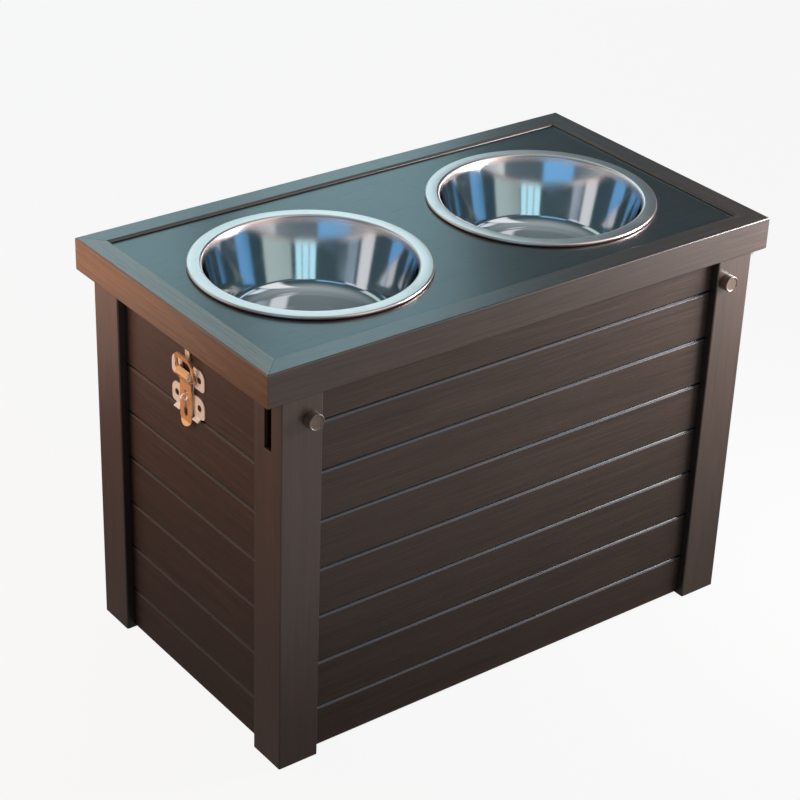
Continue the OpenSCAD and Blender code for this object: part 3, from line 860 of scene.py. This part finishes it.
@dataclass
class Carcass:
    """Posts, slatted walls and floor of the box."""

    long_slats: int = 8
    short_slats: int = 7
    edge: float = 0.5 * MM
    post_edge: float = 0.4 * MM

    def build(self) -> None:
        """Builds and dresses every board of the box."""
        self._posts()
        self._walls()
        finish = WoodFinish("floor_stain", Grain.ALONG_X, tone=0.75, seed=90.0, roughness=0.55)
        attach(SOFT_EDGES.copy("floor_board", self.edge), "floor_board", finish.material())

    def _posts(self) -> None:
        """Builds the four posts, whose grain stands upright."""
        for i, corner in enumerate(("front_left", "front_right", "rear_left", "rear_right")):
            node = corner + "_post"
            finish = WoodFinish(
                node + "_stain", Grain.UPRIGHT, Board.POST, POST_STAIN, FULL_LACQUER,
                tone=0.98 + wobble(i, 0.04), seed=i + 1.0,
            )
            attach(SOFT_EDGES.copy(node, self.post_edge), node, finish.material())

    def _walls(self) -> None:
        """Builds the slats of all four walls, whose grain lies flat."""
        long, short = (Grain.ALONG_X, self.long_slats), (Grain.ALONG_Y, self.short_slats)
        walls = {"front": long, "rear": long, "left": short, "right": short}
        for w, (wall, (grain, count)) in enumerate(walls.items()):
            for k in range(1, count + 1):
                node = f"{wall}_slat_{k}"
                number = 10 * (w + 1) + k
                finish = WoodFinish(
                    node + "_stain", grain, Board.SLAT, lacquer=THIN_LACQUER,
                    tone=0.95 + wobble(number, 0.05), seed=float(number),
                    lower_edge=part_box(node)[0].z,
                )
                attach(SOFT_EDGES.copy(node, self.edge), node, finish.material())


@dataclass
class Lid:
    """Mitred rails round the sunk panel."""

    edge: float = 0.5 * MM

    def build(self) -> None:
        """Builds and dresses the rails and the panel."""
        rails = {
            "front_rail": Grain.ALONG_X, "rear_rail": Grain.ALONG_X,
            "left_rail": Grain.ALONG_Y, "right_rail": Grain.ALONG_Y,
        }
        for i, (node, grain) in enumerate(rails.items()):
            # Painted light: the left rail alone gets the warmer stain, for the warm light that falls
            # on the box's left side.
            stain = LEFT_LIGHT_STAIN if node == "left_rail" else WALL_STAIN
            finish = WoodFinish(
                node + "_stain", grain, Board.PLAIN, stain, RAIL_LACQUER,
                tone=1.05 + wobble(i + 3, 0.03), seed=60.0 + i, roughness=0.36, relief=0.15,
            )
            attach(SOFT_EDGES.copy(node, self.edge), node, finish.material())
        panel = WoodFinish(
            "panel_stain", Grain.ALONG_X, Board.PLAIN, PANEL_STAIN, PANEL_LACQUER,
            seed=71.0, roughness=0.4, relief=0.0, foot_shade=1.0,
        )
        attach(SOFT_EDGES.copy("lid_panel", self.edge), "lid_panel", panel.material())


@dataclass
class FoodBowl:
    """Spun steel bowl with a flat, rolled rim that rests on the lid's panel."""

    node: str
    rim_r: float = 117 * MM
    rim_h: float = 3.8 * MM
    rim_w: float = 14 * MM
    rim_bend: float = 3 * MM
    curl_slack: float = 0.05 * MM
    depth: float = 72 * MM
    base_r: float = 86 * MM
    base_bend: float = 14 * MM
    disc_r: float = 46 * MM
    disc_rise: float = 1.5 * MM
    disc_slope: float = 2 * MM
    disc_bend: float = 3 * MM
    sheet: float = 1 * MM
    turn_steps: int = 180

    def build(self) -> None:
        """Builds the bowl and dresses it."""
        low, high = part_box(self.node)
        centre = (low + high) / 2
        curl = self.rim_h / 2 - self.curl_slack
        inner = self.rim_r - self.rim_w
        raised = self.disc_rise - self.depth
        path = rounded_path([
            (self.rim_r - self.rim_h, -self.rim_h, 0),
            (self.rim_r, -self.rim_h, curl),
            (self.rim_r, 0, curl),
            (inner, 0, self.rim_bend),
            (self.base_r, -self.depth, self.base_bend),
            (self.disc_r + self.disc_slope, -self.depth, self.disc_bend),
            (self.disc_r - self.disc_slope, raised, self.disc_bend),
            (0, raised, 0),
        ])
        shape = turned(self._with_thickness(path), self.turn_steps)
        bmesh.ops.translate(shape, verts=shape.verts, vec=(centre.x, centre.y, high.z))
        piece = new_object(self.node + "_spun", shape)
        finish = SpunSteel(self.node + "_steel", centre.x, inner - self.rim_bend / 2)
        attach(piece, self.node, finish.material())

    def _with_thickness(self, path: list[Vector]) -> list[Vector]:
        """Closes the path round the thickness of the sheet, which lies under and outside it.

        Args:
            path: The bowl's upper face, from the rim's curl to the middle of the base.

        Returns:
            The outline of the sheet, from the middle of the base, round the curl and back.
        """
        under = []
        for i, point in enumerate(path):
            before = path[max(i - 1, 0)]
            after = path[min(i + 1, len(path) - 1)]
            run = (after - before).normalized()
            under.append(point + Vector((-run.z, 0, run.x)) * self.sheet)
        under[-1].x = 0.0
        return path[::-1] + under


@dataclass
class KnobbedPin:
    """Turned wooden knob on a round shank, pushed through a post and a wall."""

    node: str
    facing: int
    knob_r: float = 8.35 * MM
    knob_h: float = 8.5 * MM
    dish: float = 0.7 * MM
    dish_share: float = 0.75
    dish_bend: float = 2 * MM
    lip: float = 1 * MM
    lip_bend: float = 0.6 * MM
    lip_drop: float = 0.4 * MM
    side_bend: float = 0.8 * MM
    seat_bend: float = 0.4 * MM
    shank_r: float = 4 * MM
    tip_bend: float = 1 * MM
    turn_steps: int = 64

    def build(self) -> None:
        """Builds the knob and shank and dresses them."""
        low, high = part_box(self.node)
        centre = (low + high) / 2
        r, h = self.knob_r, self.knob_h
        length = high.y - low.y - h
        path = rounded_path([
            (0, h - self.dish, 0),
            (self.dish_share * r, h - self.dish, self.dish_bend),
            (r - self.lip, h, self.lip_bend),
            (r, h - self.lip_drop, self.side_bend),
            (r, 0, self.seat_bend),
            (self.shank_r, 0, 0),
            (self.shank_r, -length, self.tip_bend),
            (0, -length, 0),
        ])
        shape = turned(path, self.turn_steps)
        forward = self.facing < 0
        seat = Matrix.Translation((centre.x, low.y + h if forward else high.y - h, centre.z))
        swing = Matrix.Rotation(math.radians(90.0 if forward else -90.0), 4, "X")
        bmesh.ops.transform(shape, matrix=seat @ swing, verts=shape.verts)
        finish = WoodFinish(
            self.node + "_stain", Grain.UPRIGHT, Board.PLAIN, KNOB_STAIN, FULL_LACQUER,
            seed=80.0 + centre.x, roughness=0.36, foot_shade=1.0,
        )
        attach(new_object(self.node + "_turned", shape), self.node, finish.material())


@dataclass
class CountersunkScrew:
    """Countersunk screw with a cross recess in its head."""

    head_r: float = 3.4 * MM
    shank_r: float = 1.7 * MM
    length: float = 10 * MM
    arm: float = 1.9 * MM
    arm_half_width: float = 0.42 * MM
    recess: float = 1.3 * MM
    recess_taper: float = 0.45
    sides: int = 28

    def add(self, shape: bmesh.types.BMesh, place: Matrix) -> None:
        """Adds the screw to a bmesh.

        Args:
            shape: The empty bmesh that takes it.
            place: Where its head's middle lies; its shank runs along the place's own -Z.
        """
        bmesh.ops.create_circle(shape, radius=self.head_r, segments=self.sides)
        rim = list(shape.edges)
        a, w = self.arm, self.arm_half_width
        cross = [
            shape.verts.new(Matrix.Rotation(math.radians(90 * quarter), 3, "Z") @ Vector(corner))
            for quarter in range(4)
            for corner in ((a, -w, 0), (a, w, 0), (w, w, 0))
        ]
        slot = [shape.edges.new(pair) for pair in zip(cross, cross[1:] + cross[:1])]
        bmesh.ops.triangle_fill(shape, use_beauty=True, edges=rim + slot, normal=(0, 0, 1))
        self._sink(shape, slot, self.recess_taper, -self.recess, True)
        cone_drop = self.shank_r - self.head_r
        cone = self._sink(shape, rim, self.shank_r / self.head_r, cone_drop, False)
        bottom = [edge for edge in shape.edges if set(edge.verts) <= cone]
        self._sink(shape, bottom, 1.0, -cone_drop - self.length, True)
        bmesh.ops.transform(shape, matrix=place, verts=shape.verts)

    @staticmethod
    def _sink(
        shape: bmesh.types.BMesh, edges: list[bmesh.types.BMEdge],
        shrink: float, drop: float, closed: bool,
    ) -> set[bmesh.types.BMVert]:
        """Extrudes a loop of edges inwards and down.

        Args:
            shape: The bmesh that holds them.
            edges: The loop.
            shrink: Size of the new loop against the old one.
            drop: Change of height, in metres.
            closed: Whether the new loop is filled.

        Returns:
            The new loop's vertices.
        """
        moved = bmesh.ops.extrude_edge_only(shape, edges=edges)["geom"]
        verts = [item for item in moved if isinstance(item, bmesh.types.BMVert)]
        loop = [item for item in moved if isinstance(item, bmesh.types.BMEdge)]
        bmesh.ops.scale(shape, vec=(shrink, shrink, 1), verts=verts)
        bmesh.ops.translate(shape, vec=(0, 0, drop), verts=verts)
        if closed:
            ends = [edge for edge in loop if set(edge.verts) <= set(verts)]
            bmesh.ops.edgenet_fill(shape, edges=ends)
        return set(verts)


@dataclass
class Hardware:
    """Latch, hinges and screws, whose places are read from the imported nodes."""

    strike_sheet: float = 1.2 * MM
    strike_screw_in: float = 8 * MM
    strike_screw_y: float = 10 * MM
    leaf: float = 1.5 * MM
    hinge_screw_y: float = 12 * MM
    lid_screw_out: float = 8.2 * MM
    post_screws: tuple[Span, ...] = ((-12 * MM, 12 * MM), (12 * MM, 12 * MM), (0.0, 27 * MM))
    long_screw: float = 10 * MM
    short_screw: float = 7 * MM
    first_turn: float = 11.0
    turn_between: float = 37.0
    edge: float = 0.22 * MM

    def build(self) -> None:
        """Builds and dresses every metal piece apart from the bowls."""
        self._sheets(("latch_plate", "latch_pivot", "latch_strike"), LATCH_PLATING.material())
        self._sheets(("latch_lever", "latch_loop"), LEVER_REFLECTION_PLATING.material())
        steel = HINGE_PLATING.material()
        for side in ("front", "rear"):
            parts = ("post_leaf", "lid_leaf", "pin")
            self._sheets([f"{side}_hinge_{part}" for part in parts], steel)
        screws = SCREW_PLATING.material()
        self._group("latch_screws", self._latch_screws(), self.long_screw, screws)
        self._group("lid_screws", self._lid_screws(), self.long_screw, steel)
        self._group("hinge_screws", self._post_screws(), self.short_screw, steel)

    def _sheets(self, nodes: Sequence[str], finish: bpy.types.Material) -> None:
        """Softens and dresses pieces of sheet metal."""
        for node in nodes:
            attach(SOFT_EDGES.copy(node, self.edge), node, finish)

    def _latch_screws(self) -> list[Matrix]:
        """Finds the four screws in the latch's plate.

        Returns:
            Their places.
        """
        low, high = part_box("latch_screws")
        r = CountersunkScrew.head_r
        spots = [(low.x, y, z) for y in (low.y + r, high.y - r) for z in (low.z + r, high.z - r)]
        return self._screwed(spots, Matrix.Rotation(math.radians(-90), 4, "Y"))

    def _lid_screws(self) -> list[Matrix]:
        """Finds the screws that go up into the lid's rails.

        Returns:
            The places of the strike's two and of the hinges' six.
        """
        lid_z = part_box("left_rail")[0].z
        low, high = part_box("latch_strike")
        middle = (low.y + high.y) / 2
        spots = [
            (low.x + self.strike_screw_in, middle + y, lid_z - self.strike_sheet)
            for y in (-self.strike_screw_y, self.strike_screw_y)
        ]
        for axis in self._hinge_axes():
            for y in (-self.hinge_screw_y, 0, self.hinge_screw_y):
                spots.append((axis.x + self.lid_screw_out, axis.y + y, lid_z - self.leaf))
        return self._screwed(spots, Matrix.Rotation(math.pi, 4, "X"))

    def _post_screws(self) -> list[Matrix]:
        """Finds the screws that hold the hinges to the posts.

        Returns:
            Their places.
        """
        face_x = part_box("hinge_screws")[1].x
        spots = [
            (face_x, axis.y + y, axis.z - z)
            for axis in self._hinge_axes()
            for y, z in self.post_screws
        ]
        return self._screwed(spots, Matrix.Rotation(math.radians(90), 4, "Y"))

    @staticmethod
    def _hinge_axes() -> list[Vector]:
        """Gives the middles of the front and the rear hinge's pins."""
        return [sum(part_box(f"{side}_hinge_pin"), Vector()) / 2 for side in ("front", "rear")]

    def _screwed(self, spots: Sequence[Point], way: Matrix) -> list[Matrix]:
        """Gives each screw of a group its place and its recess a turn of its own.

        Args:
            spots: Where the heads' middles lie.
            way: The turn that brings a screw's head to face outwards.

        Returns:
            The places.
        """
        turns = [self.turn_between * i + self.first_turn for i in range(len(spots))]
        return [
            Matrix.Translation(spot) @ way @ Matrix.Rotation(math.radians(turn), 4, "Z")
            for spot, turn in zip(spots, turns)
        ]

    @staticmethod
    def _group(
        node: str, places: list[Matrix], length: float, finish: bpy.types.Material
    ) -> None:
        """Builds one group of screws as one piece.

        Args:
            node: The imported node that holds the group.
            places: Where each screw's head lies.
            length: Length of each screw.
            finish: Their finish.
        """
        shape = bmesh.new()
        screw = CountersunkScrew(length=length)
        for place in places:
            single = bmesh.new()
            screw.add(single, place)
            bmesh.ops.recalc_face_normals(single, faces=single.faces)
            mesh = bpy.data.meshes.new("screw")
            single.to_mesh(mesh)
            single.free()
            shape.from_mesh(mesh)
            bpy.data.meshes.remove(mesh)
        attach(new_object(node + "_crossed", shape, smooth=False), node, finish)


@dataclass(frozen=True)
class SkyWindow:
    """Soft bright window in the studio's walls, which only reflections show.

    Angles are in degrees, the azimuth from +X towards +Y. Sill and top are the upward part of the
    direction, from 0 on the horizon to 1 overhead.
    """

    azimuth: float
    half_width: float
    sill: float
    top: float
    colour: str
    side_blur: float = 7.0
    sill_blur: float = 0.1
    top_blur: float = 0.12

    def light(self, turn: Shade, up: Shade) -> Shade:
        """Gives how much of the window a direction shows.

        Args:
            turn: The direction's azimuth, in radians.
            up: The direction's upward part.

        Returns:
            1 in the window and 0 beside it.
        """
        away = abs(turn - math.radians(self.azimuth))
        inner = math.radians(self.half_width)
        return (
            away.rises(inner + math.radians(self.side_blur), inner)
            * up.rises(self.sill - self.sill_blur, self.sill)
            * up.rises(self.top + self.top_blur, self.top)
        )


SKY_WINDOWS = (
    SkyWindow(-72.0, 11.0, 0.14, 0.9, "FFFFFF"),
    SkyWindow(-28.0, 18.0, 0.14, 0.46, "D2EAFF"),
    SkyWindow(-42.0, 9.0, 0.62, 0.74, "E8F2FF"),
    SkyWindow(-150.0, 14.0, 0.14, 0.4, "7CBCF0"),
    SkyWindow(130.0, 28.0, 0.14, 0.56, "CCDEDA"),
)


@dataclass(frozen=True)
class Surroundings:
    """White background for the camera, walls with windows for reflections, and a plain light."""

    light: str = "E4E6E8"
    strength: float = 0.38
    walls: tuple[tuple[float, str], ...] = (
        (0.0, "D8DCE0"), (0.12, "5A6A72"), (0.5, "3E5660"), (0.72, "5A6A6E"), (1.0, "A4AEB0"),
    )

    def build(self) -> None:
        """Makes the world."""
        world = bpy.data.worlds.new("studio")
        bpy.context.scene.world = world
        world.use_nodes = True
        graph = Graph(world.node_tree)
        camera, mirrored = graph.ray_kinds()
        light = self._background(graph, linear(self.light), self.strength)
        mirror = self._background(graph, self._walls_with_windows(graph), 1.0)
        white = self._background(graph, linear("FFFFFF"), 1.0)
        both = graph.mix_shaders(camera, graph.mix_shaders(mirrored, light, mirror), white)
        graph.node("ShaderNodeOutputWorld", None, {"Surface": both})

    @staticmethod
    def _background(graph: Graph, colour: Value, strength: float) -> Shade:
        """Adds a background of one colour and strength."""
        return graph.node("ShaderNodeBackground", None, {"Color": colour, "Strength": strength})

    def _walls_with_windows(self, graph: Graph) -> Shade:
        """Gives the studio's walls as metal sees them: grey-blue, with a few soft windows.

        Args:
            graph: The world's graph.

        Returns:
            The colour by direction.
        """
        x, y, up = graph.split(graph.node("ShaderNodeTexCoord", output="Generated"))
        turn = graph.turn_about(x, y)
        stops = tuple((height, linear(code)) for height, code in self.walls)
        colour = graph.node("ShaderNodeValToRGB", {"stops": stops}, {"Fac": up})
        for window in SKY_WINDOWS:
            colour = graph.mix(window.light(turn, up), colour, linear(window.colour))
        return colour


@dataclass(frozen=True)
class FloorPaint:
    """Pale floor: white to the camera apart from the shadow, with painted shade and glow in
    reflections.

    Reflections show it painted dark, grey on the right and brown on the left, with painted glowing
    patches: brighter towards the front, bright on the right and warm on the left. Each span gives,
    in metres, where an area starts and where it is complete.
    """

    size: float = 40.0
    paint: str = "C6C4C2"
    mirrored_shade_paint: tuple[str, str] = ("5A524C", "46301F")
    mirrored_turns_x: Span = (0.0, -0.4)
    camera_glow: float = 0.9
    mirrored_glow: float = 0.1
    front_glow: float = 0.22
    front_y: Span = (-0.2, -0.5)
    right_x: Span = (0.45, 0.9)
    right_y: Span = (-0.25, -0.5)
    left_x: Span = (-0.3, -0.6)
    left_y: Span = (0.4, 0.95)
    warm: str = "FFC8A8"
    warm_ends_y: Span = (1.8, 1.2)

    def build(self) -> None:
        """Lays the floor."""
        shape = bmesh.new()
        bmesh.ops.create_grid(shape, x_segments=2, y_segments=2, size=self.size / 2)
        floor = new_object("floor", shape)
        floor.data.materials.append(self.material())
        floor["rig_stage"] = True

    def material(self) -> bpy.types.Material:
        """Makes the material.

        Returns:
            The material.
        """
        made, graph = new_material("floor_paint")
        camera, glossy = graph.ray_kinds()
        mirrored = glossy * (1 - camera)
        x, y, _ = graph.split(graph.place())
        # Painted light in reflections: glowing patches on the right and on the left, the left one
        # warm.
        right = x.rises(*self.right_x) * y.rises(*self.right_y)
        left = y.rises(*self.left_y) * x.rises(*self.left_x)
        warmth = left * y.rises(*self.warm_ends_y) * (1 - camera)
        # Painted shade in reflections: glossy rays see the floor dark, grey on the right and brown
        # on the left.
        near, far = self.mirrored_shade_paint
        dark = graph.mix(x.rises(*self.mirrored_turns_x), linear(near), linear(far))
        coat = graph.mix(mirrored, linear(self.paint), dark)
        paint = graph.node("ShaderNodeBsdfDiffuse", None, {"Color": coat})
        tint = graph.mix(warmth, linear("FFFFFF"), linear(self.warm))
        glow = graph.node("ShaderNodeEmission", None, {"Color": tint, "Strength": 1.0})
        # Painted light in reflections: the floor glows a little everywhere, more towards the front.
        all_over = self.mirrored_glow + self.front_glow * y.rises(*self.front_y)
        share = camera * self.camera_glow + mirrored * all_over.at_least(right.at_least(left))
        graph.node(
            "ShaderNodeOutputMaterial", None, {"Surface": graph.mix_shaders(share, paint, glow)}
        )
        return made


@dataclass(frozen=True)
class SoftLamp:
    """Soft lamp with a flat face, whose power is in watts."""

    name: str
    place: Point
    target: Point
    size: Span
    power: float
    colour: Point
    mirrored: bool = True

    def build(self) -> None:
        """Hangs the lamp, which the camera doesn't show."""
        data = bpy.data.lights.new(self.name, "AREA")
        data.shape = "RECTANGLE"
        data.size, data.size_y = self.size
        data.energy = self.power
        data.color = self.colour
        lamp = bpy.data.objects.new(self.name, data)
        lamp.visible_camera = False
        lamp.visible_glossy = self.mirrored
        lamp.location = self.place
        way = Vector(self.target) - Vector(self.place)
        lamp.rotation_euler = way.to_track_quat("-Z", "Y").to_euler()
        bpy.context.scene.collection.objects.link(lamp)


KEY_LAMP = SoftLamp(
    "key", (0.6, -0.38, 0.49), (0.3, -0.16, 0.37), (0.26, 0.26), 5.4, (1.0, 0.98, 0.98)
)
LEFT_LAMP = SoftLamp(
    "left_fill", (-0.82, 0.54, 0.6), (-0.3, 0.14, 0.42), (0.4, 0.4), 5.4, (1.0, 0.53, 0.27), False
)
# Tall cool lamps in a row behind the feeder, whose light the lid mirrors.
WINDOW_SHIFTS = ((-0.6734, 0.3034), (-0.1456, 0.0656), (0.3822, -0.1722))
WINDOW_LAMPS = tuple(
    SoftLamp(
        f"window_{i}", (0.9 + x, 2.0 + y, 1.7), (x, y, 0.3), (0.5, 1.6), 3.4, (0.55, 0.9, 1.0)
    )
    for i, (x, y) in enumerate(WINDOW_SHIFTS)
)


@dataclass
class Studio:
    """Camera, floor, surroundings and lamps."""

    camera_place: Point = (-1.2301, -1.5493, 1.3417)
    azimuth: float = 37.79
    elevation: float = 29.13
    roll: float = 2.15
    focal: float = 100.28
    sensor: float = 36.0
    sight: float = 100.0

    def build(self) -> None:
        """Sets up the whole studio."""
        bpy.context.scene.view_settings.view_transform = "Standard"
        self._camera()
        FloorPaint().build()
        Surroundings().build()
        for lamp in (KEY_LAMP, LEFT_LAMP, *WINDOW_LAMPS):
            lamp.build()

    def _camera(self) -> None:
        """Puts the camera where the photograph was taken."""
        data = bpy.data.cameras.new("camera")
        data.sensor_fit = "HORIZONTAL"
        data.sensor_width = self.sensor
        data.lens = self.focal
        data.clip_end = self.sight
        camera = bpy.data.objects.new("camera", data)
        turn = (
            Matrix.Rotation(math.radians(-self.azimuth), 4, "Z")
            @ Matrix.Rotation(math.radians(90.0 - self.elevation), 4, "X")
            @ Matrix.Rotation(math.radians(self.roll), 4, "Z")
        )
        camera.matrix_world = Matrix.Translation(self.camera_place) @ turn
        bpy.context.scene.collection.objects.link(camera)
        bpy.context.scene.camera = camera


def main(at_load: object) -> None:
    """Builds the studio and every sub-assembly, in order.

    Args:
        at_load: The whole object's box straight after loading; not used.
    """
    logging.basicConfig(level=logging.INFO, format="%(name)s: %(message)s")
    Studio().build()
    Carcass().build()
    Lid().build()
    for side in ("left", "right"):
        FoodBowl(side + "_bowl").build()
    for row, facing in (("front", -1), ("rear", 1)):
        for side in ("left", "right"):
            KnobbedPin(f"{row}_{side}_pin", facing).build()
    Hardware().build()


if __name__ == "__main__":
    main(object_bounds())
